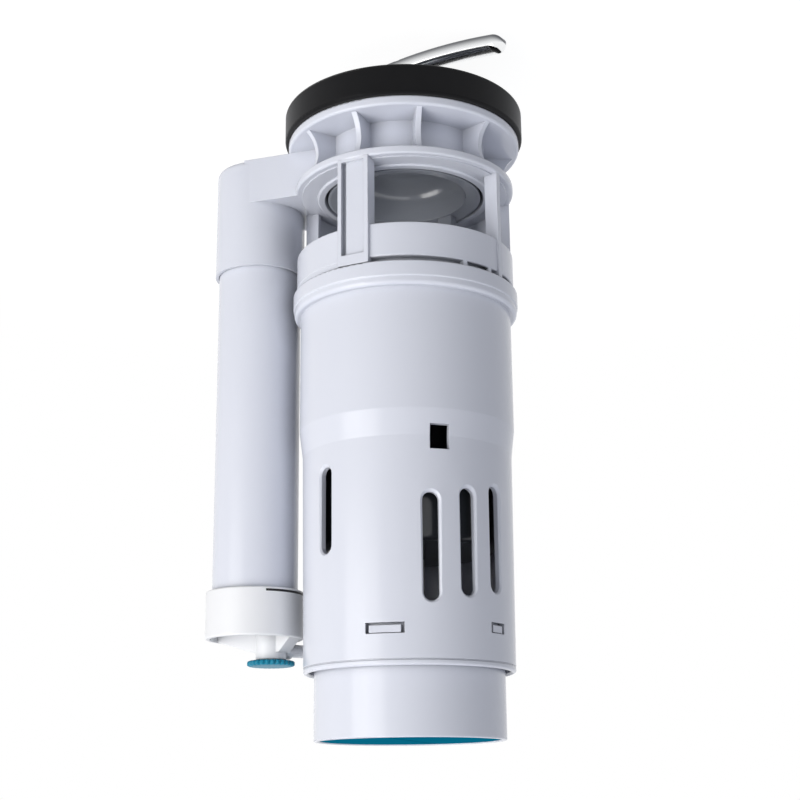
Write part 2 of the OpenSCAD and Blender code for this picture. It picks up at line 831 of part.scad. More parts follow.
// Plate across the tower that carries both rockers and guides the stem
module rocker_frame() {
    color(white) {
        difference() {
            union() {
                post(frame_r, frame_z, frame_top_z);
                post(boss_r, frame_z + sink, frame_top_z + frame_boss_h);
            }
            post(stem_r + run_fit, frame_z - over, frame_top_z + frame_boss_h + over);
            translate([0, half_rod_y, 0]) post(half_rod_r + part_gap, frame_z - over, frame_top_z + over);
            for (a = [-110, -70, -30, 105]) rotate([0, 0, a]) translate([frame_hole_x, 0, 0])
                post(frame_hole_r, frame_z - over, frame_top_z + over);
        }
        ears(-lift_arm, [-prong_out - ear_gap - ear_t, prong_out + ear_gap]);
        ears(lift_arm, [half_hub[0] - ear_gap - ear_t, half_hub[1] + ear_gap]);
    }
}

// Pins of the two rockers
module rocker_pins() {
    full_reach = prong_out + ear_gap + ear_t;
    color(steel) {
        translate([-lift_arm, 0, pivot_z]) y_pin(pin_d / 2, -full_reach, full_reach);
        translate([lift_arm, 0, pivot_z])
            y_pin(pin_d / 2, half_hub[0] - ear_gap - ear_t, half_hub[1] + ear_gap + ear_t);
    }
}

// Rocker about its own pivot, at rest: hub, pressed arm and one lifting blade for each pair of faces
module rocker(hub, arm, blades) {
    rotate([0, rock, 0]) difference() {
        union() {
            y_pin(pin_d / 2 + hub_wall, hub[0], hub[1]);
            translate([-press_arm, arm[0], -blade_t / 2]) cube([press_arm, arm[1] - arm[0], blade_t]);
            translate([-press_arm, 0, 0]) y_pin(tip_r, arm[0], arm[1]);
            for (b = blades) {
                translate([0, b[0], -blade_t / 2]) cube([lift_arm, b[1] - b[0], blade_t]);
                translate([lift_arm, 0, 0]) y_pin(tip_r, b[0], b[1]);
            }
        }
        y_pin(pin_d / 2 + run_fit, hub[0] - over, hub[1] + over);
    }
}

// Forked rocker that lifts the stem
module full_rocker() {
    prongs = [[-prong_out, -prong_in], [prong_in, prong_out]];
    color(white) translate([-lift_arm, 0, pivot_z]) rocker([-prong_out, prong_out], [-4, 4], prongs);
}

// Rocker that lifts the half float
module half_rocker() {
    blade = [[half_y, half_y + half_blade_w]];
    color(white) translate([lift_arm, 0, pivot_z]) mirror([1, 0, 0])
        rocker(half_hub, [half_press_y - 3, half_press_y + 3], blade);
}

// Snap tab of the top collar, standing in its window of the tower
module snap_tab(s) {
    low = snap_z - s[2] + snap_slack - part_gap;
    rotate([0, 0, s[0]]) translate([skirt_r - 1.5, -s[1] / 2 + snap_slack, low])
        cube([upper_r - skirt_r + 1.2, s[1] - 2 * snap_slack, snap_h - snap_slack]);
}

// Narrow ring at the top, which holds the rocker frame down and guides the buttons
module top_collar() {
    color(grey) {
        rotate_extrude() {
            translate([collar2_in_r, frame_top_z])
                square([skirt_r - collar2_in_r, skirt_top_z - frame_top_z]);
            round_section(collar2_in_r, collar2_r, skirt_top_z - 2, rim_z, 0.6);
        }
        for (turn = [0, 180], s = [wide_snap, narrow_snap]) rotate([0, 0, turn]) snap_tab(s);
        difference() {
            post(collar2_in_r + 0.5, deck_z, deck_z + deck_t);
            for (hole = [[-press_x, 0, 0], [press_x, half_press_y, 0]])
                translate(hole) post(rod_r + part_gap, deck_z - over, deck_z + deck_t + over);
            translate([-head_w / 2 - 1, half_y - 1.4, deck_z - over])
                cube([head_w + 2, half_rod_y - half_y + half_rod_r + 2.8, deck_t + 2 * over]);
        }
    }
}

// Button: half a round plate with its push rod
module button(side, y) {
    intersection() {
        round_ring(0, button_r, button_z, button_top_z, 0.6);
        translate([side < 0 ? -2 * button_r : button_split / 2, -button_r, button_z - over])
            cube([2 * button_r - (side < 0 ? button_split / 2 : 0), 2 * button_r, button_t + 2 * over]);
    }
    translate([side * press_x, y, 0]) post(rod_r, rod_end_z, button_z + 1);
}

// Full-flush button
module full_button() {
    color(teal) button(-1, 0);
}

// Half-flush button
module half_button() {
    color(teal) button(1, half_press_y);
}

// Return spring between the deck and a button
module button_spring(x, y) {
    foot = deck_z + deck_t + spring_wire_r + 0.05;
    color(steel) translate([x, y, foot])
        coil(spring_r, spring_wire_r, button_z - foot - spring_wire_r - 0.05, spring_turns);
}

// Return spring of the full-flush button
module full_spring() {
    button_spring(-press_x, 0);
}

// Return spring of the half-flush button
module half_spring() {
    button_spring(press_x, half_press_y);
}

// Rod that carries the bowl, with shoulders for its yoke and the floats and a cross-head for the rocker
module lift_stem() {
    color(smoke) {
        post(stem_r, stem_end_z, head_z + 1);
        translate([-head_w / 2, -prong_out - 0.4, head_z]) cube([head_w, 2 * prong_out + 0.8, head_h]);
        post(boss_r, yoke_hub_top_z, yoke_hub_top_z + collar_t);
        post(boss_r, full_float_z + hub_lift - collar_t, full_float_z + hub_lift);
        post(boss_r, half_float_z + hub_lift - collar_t, half_float_z + hub_lift - part_gap);
    }
}

// Yoke of the bowl: two legs down to the rim and a bar across
module yoke() {
    rotate([90, 0, yoke_angle]) linear_extrude(yoke_w, center = true) difference() {
        translate([-yoke_out_r, yoke_foot_z])
            square([2 * yoke_out_r, yoke_top_z - yoke_foot_z]);
        translate([-yoke_in_r, yoke_foot_z - over])
            square([2 * yoke_in_r, yoke_z - yoke_foot_z + over]);
    }
}

// Open bowl that closes the seat, with a rim over the seal and a yoke up to its hub on the stem
module poppet_bell() {
    color(smoke) difference() {
        union() {
            rotate_extrude() difference() {
                union() {
                    cup_section(cup_r, cup_z, seal_top_z + sink, cup_round);
                    translate([0, seal_top_z]) square([cup_flange_r, cup_flange_t]);
                }
                cup_section(cup_in_r, cup_z + cup_wall, cup_top_z + over, cup_round - cup_wall);
                polygon([
                    [0, cup_top_z - cup_rim_drop],
                    [cup_in_r, cup_top_z - cup_rim_drop],
                    [cup_flange_r - cup_rim_w, cup_top_z],
                    [cup_flange_r - cup_rim_w, cup_top_z + over],
                    [0, cup_top_z + over]
                ]);
            }
            yoke();
            post(boss_r, yoke_hub_z, yoke_hub_top_z);
        }
        post(stem_bore_r, yoke_hub_z - over, yoke_hub_top_z + over);
    }
}

// Rubber ring around the bowl that seals in the funnel
module seat_seal() {
    color(black) difference() {
        translate([0, 0, seal_z]) cylinder(r1 = seal_low_r, r2 = seal_top_r, h = seal_t);
        post(cup_r + stem_fit, seal_z - over, seal_top_z + over);
    }
}

// Retaining ring that holds the seal up against the bowl's rim
module seal_plate() {
    color(white) ring(cup_r + stem_fit, seal_plate_r, seal_z - seal_plate_t, seal_z);
}

// Nut that holds the bowl's yoke, and so the seal, on the stem
module seal_nut() {
    color(white) hex_nut(seal_nut_af, stem_bore_r, seal_nut_z, yoke_hub_z);
}

// Float shaped as an upturned cup, with its hub on the stem
module float_cup(r, z0, z1, bore_r) {
    difference() {
        union() {
            difference() {
                round_ring(0, r, z0, z1, 3);
                post(r - cup_wall, z0 - over, z1 - cup_wall);
            }
            post(boss_r, z0 + hub_lift, z1 - 0.5);
        }
        post(bore_r, z0 - over, z1 + over);
    }
}

// Float that keeps the poppet up during a full flush
module full_float() {
    color(smoke) float_cup(full_float_d / 2, full_float_z, full_float_z + full_float_h, stem_bore_r);
}

// Float that drops the poppet early after a half flush
module half_float() {
    color(smoke) {
        float_cup(half_float_d / 2, half_float_z, half_float_top_z, stem_r + run_fit);
    }
}

// Rod from the half float up to its rocker
module half_rod() {
    color(white) {
        translate([0, half_rod_y, 0]) post(half_rod_r, half_float_top_z, head_z + 1);
        translate([-head_w / 2, half_y - 0.4, head_z])
            cube([head_w, half_rod_y - half_y + half_rod_r + 0.4, head_h]);
    }
}

base();
tank_gasket();
draw_bolt();
bolt_washer();
clamp_bar();
clamp_nut();
overflow_tube();
tube_seal();
refill_cap();
refill_knob();
regulator_plug();
knob_seal();
tower_body();
rocker_frame();
rocker_pins();
full_rocker();
half_rocker();
top_collar();
full_button();
half_button();
full_spring();
half_spring();
lift_stem();
poppet_bell();
seat_seal();
seal_plate();
seal_nut();
full_float();
half_float();
half_rod();
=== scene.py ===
# %% [markdown]
# # A toilet flush valve, dressed for its portrait
#
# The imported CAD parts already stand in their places, in metres, with the tank floor at height zero.
# This lesson loads them as a fixed frame, looks at them through the camera of the photograph, and
# then gives every piece the finish that it has on the real valve. Pieces that a CAD solid shows too
# plainly are made again here, on the same sizes, and ride on the same moving bodies.

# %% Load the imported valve
import math

import bpy
from mathutils import Matrix, Vector


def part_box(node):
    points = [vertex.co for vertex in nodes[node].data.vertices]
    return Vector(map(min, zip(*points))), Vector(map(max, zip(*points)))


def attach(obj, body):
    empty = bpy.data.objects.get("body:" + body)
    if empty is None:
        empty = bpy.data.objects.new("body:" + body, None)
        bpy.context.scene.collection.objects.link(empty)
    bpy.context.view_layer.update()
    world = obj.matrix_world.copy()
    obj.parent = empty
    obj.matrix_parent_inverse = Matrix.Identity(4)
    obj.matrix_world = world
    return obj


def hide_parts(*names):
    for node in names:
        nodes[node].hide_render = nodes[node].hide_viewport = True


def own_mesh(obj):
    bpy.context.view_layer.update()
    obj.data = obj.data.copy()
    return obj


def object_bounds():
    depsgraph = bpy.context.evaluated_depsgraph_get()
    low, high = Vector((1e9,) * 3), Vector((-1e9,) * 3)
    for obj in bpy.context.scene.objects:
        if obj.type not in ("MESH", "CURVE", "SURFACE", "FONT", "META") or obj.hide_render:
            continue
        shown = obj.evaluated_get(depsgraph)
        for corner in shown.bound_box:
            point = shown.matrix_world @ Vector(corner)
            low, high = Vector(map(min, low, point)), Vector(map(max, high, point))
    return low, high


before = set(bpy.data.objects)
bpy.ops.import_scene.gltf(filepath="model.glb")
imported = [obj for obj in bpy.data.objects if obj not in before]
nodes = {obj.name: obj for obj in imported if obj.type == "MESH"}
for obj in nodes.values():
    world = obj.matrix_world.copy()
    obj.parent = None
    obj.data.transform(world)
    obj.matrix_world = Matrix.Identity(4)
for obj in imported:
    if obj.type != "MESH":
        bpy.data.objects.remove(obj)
cad_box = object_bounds()
scene = bpy.context.scene
MM = 0.001

# %% [markdown]
# ## Camera
#
# The photograph shows the valve upside-down. The valve is modelled upright, so the camera is rolled
# by half a turn instead. Its place, lens and tilt were fitted to the ellipses and edges in the
# photograph. The three directions of the camera are worked out as vectors and set as the columns of
# its matrix, which is easier to check than a stack of Euler angles.

# %% Camera at the photograph's place
CAMERA_PLACE = Vector((-193.6, -595.9, 309.3)) * MM
LENS, SENSOR = 66.56, 36
FACING, YAW, PITCH, ROLL = (math.radians(a) for a in (-18, 0.26, 15.55, -0.59))

ahead = Vector((math.sin(YAW) * math.cos(PITCH), math.cos(YAW) * math.cos(PITCH), -math.sin(PITCH)))
level = Vector((math.cos(YAW), -math.sin(YAW), 0))
above = level.cross(ahead)
right = math.cos(ROLL) * level + math.sin(ROLL) * above
up = math.cos(ROLL) * above - math.sin(ROLL) * level
turn = Matrix.Rotation(FACING, 3, "Z")
axes = Matrix((turn @ -right, turn @ -up, turn @ -ahead)).transposed()

camera_data = bpy.data.cameras.new("camera")
camera_data.lens = LENS
camera_data.sensor_width = SENSOR
camera_data.clip_start = 10 * MM
camera = bpy.data.objects.new("camera", camera_data)
camera.matrix_world = Matrix.Translation(CAMERA_PLACE) @ axes.to_4x4()
scene.collection.objects.link(camera)
scene.camera = camera
scene.view_settings.view_transform = "Standard"
print("camera", [round(c, 4) for c in camera.location])

# %% [markdown]
# ## Colours and nodes
#
# Colours are written as the hex values that a picture editor shows. Blender's sockets want linear
# light, so one function turns them. One more function adds a node to a tree, sets its values and
# makes its links. Two short forms of it, for arithmetic and for moving a value from one range to
# another, let each material and each shape rule below read as a short list of steps.

# %% Helpers for node trees
def linear(code):
    values = [int(code[i:i + 2], 16) / 255 for i in (1, 3, 5)]
    return [v / 12.92 if v <= 0.04045 else ((v + 0.055) / 1.055) ** 2.4 for v in values] + [1]


def add(tree, kind, inputs=None, **settings):
    node = tree.nodes.new(kind)
    for key, value in settings.items():
        setattr(node, key, value)
    for key, value in (inputs or {}).items():
        if isinstance(value, bpy.types.NodeSocket):
            tree.links.new(value, node.inputs[key])
        else:
            node.inputs[key].default_value = value
    return node


def calc(tree, operation, *values, **settings):
    return add(tree, "ShaderNodeMath", dict(enumerate(values)), operation=operation, **settings).outputs[0]


def remap(tree, value, given=(0.0, 1.0), wanted=(0.0, 1.0), kind="LINEAR"):
    ranges = {"Value": value, "From Min": given[0], "From Max": given[1],
              "To Min": wanted[0], "To Max": wanted[1]}
    return add(tree, "ShaderNodeMapRange", ranges, interpolation_type=kind).outputs[0]


print("white is", linear("#ffffff"))

# %% [markdown]
# ## Surroundings
#
# The photograph is a cut-out on white. The world is white to the camera and in reflections, and a
# quieter grey where it lights the matt surfaces, so the plastic keeps its shading. That grey is
# strongest on the camera's side and weaker behind, as in a studio with one white wall.

# %% World
FRONT = turn @ Vector((-0.5, -0.86, 0.1)).normalized()
FILL_TURN = (-1.0, 0.6)
FILL_BEHIND, FILL_BEFORE = 0.34, 0.72


def seen_plainly(tree):
    rays = add(tree, "ShaderNodeLightPath").outputs
    seen = calc(tree, "MAXIMUM", rays["Is Camera Ray"], rays["Is Glossy Ray"])
    return calc(tree, "MAXIMUM", seen, rays["Is Transmission Ray"])


world = bpy.data.worlds.new("studio")
world.use_nodes = True
scene.world = world
tree = world.node_tree
tree.nodes.clear()
look = add(tree, "ShaderNodeTexCoord").outputs["Generated"]
toward = add(tree, "ShaderNodeVectorMath", {0: look, 1: FRONT}, operation="DOT_PRODUCT").outputs["Value"]
strength = remap(tree, toward, FILL_TURN, (FILL_BEHIND, FILL_BEFORE))
fill = add(tree, "ShaderNodeBackground", {"Color": linear("#eceff8"), "Strength": strength})
white = add(tree, "ShaderNodeBackground", {"Color": linear("#ffffff"), "Strength": 1.0})
mixed = add(tree, "ShaderNodeMixShader", {0: seen_plainly(tree), 1: fill.outputs[0], 2: white.outputs[0]})
add(tree, "ShaderNodeOutputWorld", {"Surface": mixed.outputs[0]})
print("world has", len(tree.nodes), "nodes")

# %% [markdown]
# ## Lamps
#
# A lamp is placed by a direction and a distance from the valve. The azimuth is counted from the
# camera's side towards the overflow tube. A large softbox beside the tube gives the broad light, and
# a narrow strip next to it draws the thin upright highlight on the tower.

# %% Lamps
AIM = Vector((0, 0, 0.12))


def lamp(name, azimuth, elevation, distance, width, height, watts, colour):
    data = bpy.data.lights.new(name, "AREA")
    data.shape = "RECTANGLE"
    data.size, data.size_y = width, height
    data.energy = watts
    data.color = linear(colour)[:3]
    lamp_object = bpy.data.objects.new(name, data)
    around = FACING - math.pi / 2 + math.radians(azimuth)
    rise = math.radians(elevation)
    away = Vector((math.cos(around) * math.cos(rise), math.sin(around) * math.cos(rise), math.sin(rise)))
    lamp_object.location = AIM + away * distance
    lamp_object.rotation_euler = away.to_track_quat("Z", "Y").to_euler()
    scene.collection.objects.link(lamp_object)


lamp("key_softbox", azimuth=50, elevation=20, distance=1.3,
     width=1.0, height=1.6, watts=15.5, colour="#fffdfa")
lamp("edge_strip", azimuth=52, elevation=6, distance=1.5,
     width=0.03, height=1.0, watts=0.6, colour="#ffffff")

# %% [markdown]
# ## Floor
#
# The floor only has to hold the soft shadow under the valve. Near the valve it is part matt and part
# self-lit to the camera, and further out it fades into the same white as the world, so no edge shows.

# %% Floor
FLOOR_HALF, FLOOR_GAP = 3.0, 0.2 * MM
SHADOW_REACH = (0.12, 0.5)
FLOOR_GLOW = 0.92

floor_z = cad_box[0][2] - FLOOR_GAP
mesh = bpy.data.meshes.new("floor")
corners = [(x * FLOOR_HALF, y * FLOOR_HALF, floor_z) for x, y in ((-1, -1), (1, -1), (1, 1), (-1, 1))]
mesh.from_pydata(corners, [], [(0, 1, 2, 3)])
floor = bpy.data.objects.new("floor", mesh)
scene.collection.objects.link(floor)
paper = bpy.data.materials.new("paper_sweep_white")
paper.use_nodes = True
tree = paper.node_tree
tree.nodes.clear()
place = add(tree, "ShaderNodeTexCoord").outputs["Object"]
far = add(tree, "ShaderNodeVectorMath", {0: place}, operation="LENGTH").outputs["Value"]
far = remap(tree, far, SHADOW_REACH, kind="SMOOTHSTEP")
matt = add(tree, "ShaderNodeBsdfDiffuse", {"Color": linear("#7c7c7c")})
glow = add(tree, "ShaderNodeEmission", {"Color": linear("#ffffff"), "Strength": FLOOR_GLOW})
near = add(tree, "ShaderNodeAddShader", {0: matt.outputs[0], 1: glow.outputs[0]})
white = add(tree, "ShaderNodeEmission", {"Color": linear("#ffffff"), "Strength": 1.0})
shown = add(tree, "ShaderNodeMixShader", {0: far, 1: near.outputs[0], 2: white.outputs[0]})
both = add(tree, "ShaderNodeMixShader", {0: seen_plainly(tree), 1: matt.outputs[0], 2: shown.outputs[0]})
add(tree, "ShaderNodeOutputMaterial", {"Surface": both.outputs[0]})
mesh.materials.append(paper)
print("floor at", round(floor_z, 4))

# %% [markdown]
# ## Moulded plastics
#
# The body is ABS, injection moulded in a pale cool grey. Its skin copies the polished steel mould: a
# soft gloss, very fine ripples like orange peel, and faint cloudy flow marks that run up the part.
# No moulded edge is truly sharp, because a small radius lets the part leave the mould. The Bevel node
# turns the shading across each edge over that radius, which draws the thin bright line seen there.
# The Ambient Occlusion node finds the corners, and the colour is darkened there a little as painted
# shade, so that ribs and steps read clearly on so pale a part.

# %% Grey, white and teal ABS
EDGE_RADIUS = 0.45 * MM
CREASE_REACH, CREASE_SHADE, CREASE_RANGE = 12 * MM, 0.5, (0.1, 0.8)
FLOW_MM, FLOW_STRETCH, GLOSS_SPREAD = 22, 4, 0.03
PEEL_MM, PEEL_DEPTH, PEEL_STRENGTH = 1.6, 0.1 * MM, 0.04
ABS_IOR = 1.53


def new_material(name, **sockets):
    material = bpy.data.materials.new(name)
    material.use_nodes = True
    tree = material.node_tree
    shader = tree.nodes["Principled BSDF"]
    for key, value in sockets.items():
        shader.inputs[key.replace("_", " ")].default_value = value
    place = add(tree, "ShaderNodeTexCoord").outputs["Object"]
    return material, tree, shader, place


def noise(tree, place, size_mm, detail):
    inputs = {"Vector": place, "Scale": 1 / (size_mm * MM), "Detail": detail}
    return add(tree, "ShaderNodeTexNoise", inputs).outputs[0]


def blend(tree, share, first, second):
    colours = {0: share, 6: linear(first), 7: linear(second)}
    return add(tree, "ShaderNodeMix", colours, data_type="RGBA").outputs[2]


def moulded(name, code, shade, roughness, specular=0.5):
    material, tree, shader, place = new_material(name, IOR=ABS_IOR, Specular_IOR_Level=specular)
    tall = add(tree, "ShaderNodeMapping", {"Vector": place, "Scale": (1, 1, 1 / FLOW_STRETCH)}).outputs[0]
    flow = noise(tree, tall, FLOW_MM, 2.0)
    # Painted shade: the colour is darkened where the Ambient Occlusion node finds corners and creases
    sky = add(tree, "ShaderNodeAmbientOcclusion", {"Distance": CREASE_REACH}, samples=6).outputs["AO"]
    painted_crease_shade = remap(tree, sky, CREASE_RANGE, (CREASE_SHADE, 1.0))
    colour = blend(tree, flow, shade, code)
    tint = add(tree, "ShaderNodeVectorMath", {0: colour, 3: painted_crease_shade}, operation="SCALE")
    tree.links.new(tint.outputs[0], shader.inputs["Base Color"])
    gloss = remap(tree, flow, wanted=(roughness - GLOSS_SPREAD, roughness + GLOSS_SPREAD))
    tree.links.new(gloss, shader.inputs["Roughness"])
    edge = add(tree, "ShaderNodeBevel", {"Radius": EDGE_RADIUS}, samples=6).outputs[0]
    peel = noise(tree, place, PEEL_MM, 1.0)
    bump = add(tree, "ShaderNodeBump", {"Height": peel, "Strength": PEEL_STRENGTH,
                                        "Distance": PEEL_DEPTH, "Normal": edge})
    tree.links.new(bump.outputs[0], shader.inputs["Normal"])
    return material


# Pale and cool, with a soft sheen: the colour of the whole body
abs_grey = moulded("abs_moulded_grey", "#e4e7f0", "#dfe2ec", 0.22, 0.42)
# Purer and a little duller than the body, so that the cap stands out from the tube
abs_white = moulded("abs_moulded_white", "#f4f5f6", "#f0f1f3", 0.42)
# Deep and satin, for the knob
abs_teal = moulded("abs_moulded_teal", "#0f86a3", "#0c7a96", 0.40, 0.25)
# The same colour from a spark-eroded mould, so that the press plates stay deep when seen from the side
abs_teal_matt = moulded("abs_spark_eroded_teal", "#0a7c9a", "#07708c", 0.6, 0.0)
# Dark and shiny, for the floats and the stem inside the tower
smoke_plastic = moulded("polypropylene_moulded_smoke", "#44474c", "#3e4146", 0.20)
# The same plastic with painted light: a lighter colour, so that the bowl reads as mid grey in the shade of
# the cage
smoke_painted_light = moulded("polypropylene_moulded_smoke_painted_light", "#acb0b8", "#a0a4ac", 0.16, 0.8)
# Slightly warm white with a waxy sheen, for the sliding pieces
acetal = moulded("acetal_moulded_natural", "#eceae3", "#e6e4dc", 0.40)
print("plastics made")

# %% [markdown]
# ## Rubber and steel
#
# The gasket is moulded EPDM rubber: nearly black, matt, with a fine grain and a dusty bloom, which the
# sheen layer shows at shallow angles. The clamp bar is stainless steel, polished until it mirrors what
# is around it. A painted reflection makes its underside darker and its top brighter, and the bar's own
# attribute "rise" tells the material how high up the section a point lies. The bolt, nut, washer and
# springs are plain zinc-plated steel, which scatters the light.

# %% Rubber and steels
RUBBER_CLOUD_MM, RUBBER_GRAIN_MM, RUBBER_DEPTH = 9, 0.8, 0.1 * MM
METAL_SPREAD, METAL_DEPTH = 0.2, 0.05 * MM
PAINTED_REFLECTION_RISE = (-0.8, 0.55)

rubber, tree, shader, place = new_material("epdm_rubber_moulded_black", Roughness=0.4,
                                           Specular_IOR_Level=0.04, Sheen_Weight=0.2, Sheen_Roughness=0.5)
cloud = noise(tree, place, RUBBER_CLOUD_MM, 3.0)
tree.links.new(blend(tree, cloud, "#101011", "#171719"), shader.inputs["Base Color"])
grain = noise(tree, place, RUBBER_GRAIN_MM, 2.0)
bump = add(tree, "ShaderNodeBump", {"Height": grain, "Strength": 0.15, "Distance": RUBBER_DEPTH})
tree.links.new(bump.outputs[0], shader.inputs["Normal"])


def metal(name, code, roughness, grain_mm, strength):
    material, tree, shader, place = new_material(name, Base_Color=linear(code), Metallic=1.0)
    fine = noise(tree, place, grain_mm, 2.0)
    gloss = remap(tree, fine, wanted=(roughness * (1 - METAL_SPREAD), roughness * (1 + METAL_SPREAD)))
    tree.links.new(gloss, shader.inputs["Roughness"])
    bump = add(tree, "ShaderNodeBump", {"Height": fine, "Strength": strength, "Distance": METAL_DEPTH})
    tree.links.new(bump.outputs[0], shader.inputs["Normal"])
    return material


# A mirror with a trace of haze, and a painted reflection that is bright along the upper edge and darker
# towards the underside
steel_polished = metal("stainless_steel_polished", "#d6d7d9", 0.10, 3.0, 0.03)
tree = steel_polished.node_tree
rise = add(tree, "ShaderNodeAttribute", attribute_name="rise").outputs["Fac"]
painted_reflection_share = remap(tree, rise, PAINTED_REFLECTION_RISE, kind="SMOOTHSTEP")
shader = tree.nodes["Principled BSDF"]
# Painted reflection: the colour runs from dark at the underside to bright at the top, read from the
# attribute rise
tree.links.new(blend(tree, painted_reflection_share, "#57595d", "#f1f2f3"), shader.inputs["Base Color"])
# Grey and satin, with a fine grain from the plating bath
steel_plain = metal("zinc_plated_steel", "#b9bdc1", 0.36, 0.9, 0.12)
# Flat black, as printed on the cap
ink = new_material("pad_printed_ink_black", Base_Color=linear("#101012"), Roughness=0.5)[0]
print("rubber, steels and ink made")

# %% [markdown]
# ## Finishes on the CAD nodes
#
# A CAD node whose shape is right keeps its mesh and only gets a better finish. The table lists every
# node, so that a node with no finish shows up at once.

# %% Dress the CAD nodes
FINISHES = {
    abs_grey: ["base", "overflow_tube", "tower_body", "top_collar"],
    abs_white: ["refill_cap", "regulator_plug", "rocker_frame"],
    abs_teal: ["refill_knob"],
    abs_teal_matt: ["full_button", "half_button"],
    rubber: ["tank_gasket", "tube_seal", "knob_seal", "seat_seal"],
    smoke_plastic: ["full_float", "half_float", "lift_stem"],
    smoke_painted_light: ["poppet_bell"],
    acetal: ["seal_plate", "seal_nut", "half_rod", "full_rocker", "half_rocker"],
    steel_polished: ["clamp_bar"],
    steel_plain: ["draw_bolt", "bolt_washer", "clamp_nut", "rocker_pins", "full_spring", "half_spring"],
}
for finish, names in FINISHES.items():
    for name in names:
        nodes[name].data.materials.clear()
        nodes[name].data.materials.append(finish)
left_over = sorted(set(nodes) - {n for names in FINISHES.values() for n in names})
print("nodes without a finish:", left_over)

# %% [markdown]
# ## Pieces that follow a rule
#
# A knob's scallops, a spring's coils and a bolt's thread each follow a simple rule, so Geometry Nodes
# can make them from a few sizes. Two helpers begin and end such a tree, and a third grows a piece
# from it: the sizes are set on the modifier, the result is kept as a plain mesh, and the modifier
# goes, so that the piece is as solid to the export as any other. The last two put the piece on its
# moving body, and bend a flat grid round an axis.

# %% Helpers for shape rules
def begin_rule(name, sizes):
    tree = bpy.data.node_groups.new(name, "GeometryNodeTree")
    tree.interface.new_socket("Geometry", in_out="OUTPUT", socket_type="NodeSocketGeometry")
    for size in sizes:
        tree.interface.new_socket(size, in_out="INPUT", socket_type="NodeSocketFloat")
    return tree, add(tree, "NodeGroupInput").outputs


def end_rule(tree, geometry, finish):
    whole = add(tree, "GeometryNodeRealizeInstances", {"Geometry": geometry})
    smooth = add(tree, "GeometryNodeSetShadeSmooth", {"Geometry": whole.outputs[0]})
    coated = add(tree, "GeometryNodeSetMaterial", {"Geometry": smooth.outputs[0], "Material": finish})
    add(tree, "NodeGroupOutput", {"Geometry": coated.outputs[0]})


def grow(name, tree, sizes):
    piece = bpy.data.objects.new(name, bpy.data.meshes.new(name))
    scene.collection.objects.link(piece)
    modifier = piece.modifiers.new("rule", "NODES")
    modifier.node_group = tree
    for item in tree.interface.items_tree:
        if item.in_out == "INPUT":
            modifier[item.identifier] = float(sizes[item.name])
    ready = piece.evaluated_get(bpy.context.evaluated_depsgraph_get())
    grown = bpy.data.meshes.new_from_object(ready)
    piece.modifiers.clear()
    piece.data = grown
    print(name, len(grown.polygons), "faces")
    return piece


def stand_in(piece, body, slot, *replaced):
    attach(piece, body)
    if replaced:
        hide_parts(*replaced)


def position(tree):
    place = add(tree, "GeometryNodeInputPosition").outputs[0]
    return add(tree, "ShaderNodeSeparateXYZ", {0: place}).outputs


def bend_round(tree, sheet, angle, reach, rise):
    east = calc(tree, "MULTIPLY", calc(tree, "COSINE", angle), reach)
    north = calc(tree, "MULTIPLY", calc(tree, "SINE", angle), reach)
    place = add(tree, "ShaderNodeCombineXYZ", {"X": east, "Y": north, "Z": rise}).outputs[0]
    return add(tree, "GeometryNodeSetPosition", {"Geometry": sheet, "Position": place}).outputs[0]


# %% [markdown]
# ## Refill knob
#
# The knob is a thin teal disc with chunky scallops for wet fingers. A flat grid is bent round: across
# the grid runs the angle, and up the grid runs a rounded outline from the middle of the underside to
# the middle of the top. The radius dips between two scallops by the sine of the angle.

# %% Knob rule
SCALLOPS, SCALLOP_DIP, SCALLOP_STEPS, OUTLINE_STEPS = 26, 0.9 * MM, 12, 24
RIM_POWER, FACE_POWER = 0.3, 0.45
WELD = 0.005 * MM
knob_low, knob_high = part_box("refill_knob")
knob_size = knob_high - knob_low
knob_middle = (knob_low + knob_high) / 2

tree, size = begin_rule("scalloped_knob", ["Radius", "Height", "Dip", "Scallops"])
sheet = add(tree, "GeometryNodeMeshGrid", {"Size X": 1.0, "Size Y": 1.0, "Vertices Y": OUTLINE_STEPS + 1,
                                           "Vertices X": SCALLOPS * SCALLOP_STEPS + 1})
flat = position(tree)
angle = calc(tree, "MULTIPLY", flat["X"], math.tau)
climb = calc(tree, "MULTIPLY", flat["Y"], math.pi)
wide = calc(tree, "POWER", calc(tree, "COSINE", climb), RIM_POWER)
rise = calc(tree, "SINE", climb)
side = calc(tree, "SIGN", rise)
rise = calc(tree, "POWER", calc(tree, "ABSOLUTE", rise), FACE_POWER)
rise = calc(tree, "MULTIPLY", rise, side)
rise = calc(tree, "MULTIPLY", rise, calc(tree, "MULTIPLY", size["Height"], 0.5))
wave = calc(tree, "MULTIPLY", calc(tree, "MULTIPLY", size["Scallops"], 0.5), angle)
wave = calc(tree, "ABSOLUTE", calc(tree, "SINE", wave))
wave = calc(tree, "MULTIPLY", calc(tree, "SUBTRACT", 1.0, wave), size["Dip"])
reach = calc(tree, "MULTIPLY", calc(tree, "SUBTRACT", size["Radius"], wave), wide)
bent = bend_round(tree, sheet.outputs["Mesh"], angle, reach, rise)
welded = add(tree, "GeometryNodeMergeByDistance", {"Geometry": bent, "Distance": WELD})
put = add(tree, "GeometryNodeTransform", {"Geometry": welded.outputs[0], "Translation": knob_middle})
end_rule(tree, put.outputs[0], abs_teal)

knob = grow("refill_knob_scalloped", tree, {"Radius": knob_size.y / 2, "Height": knob_size.z,
                                            "Scallops": SCALLOPS, "Dip": SCALLOP_DIP})
stand_in(knob, "regulator", "moulded_teal", "refill_knob")

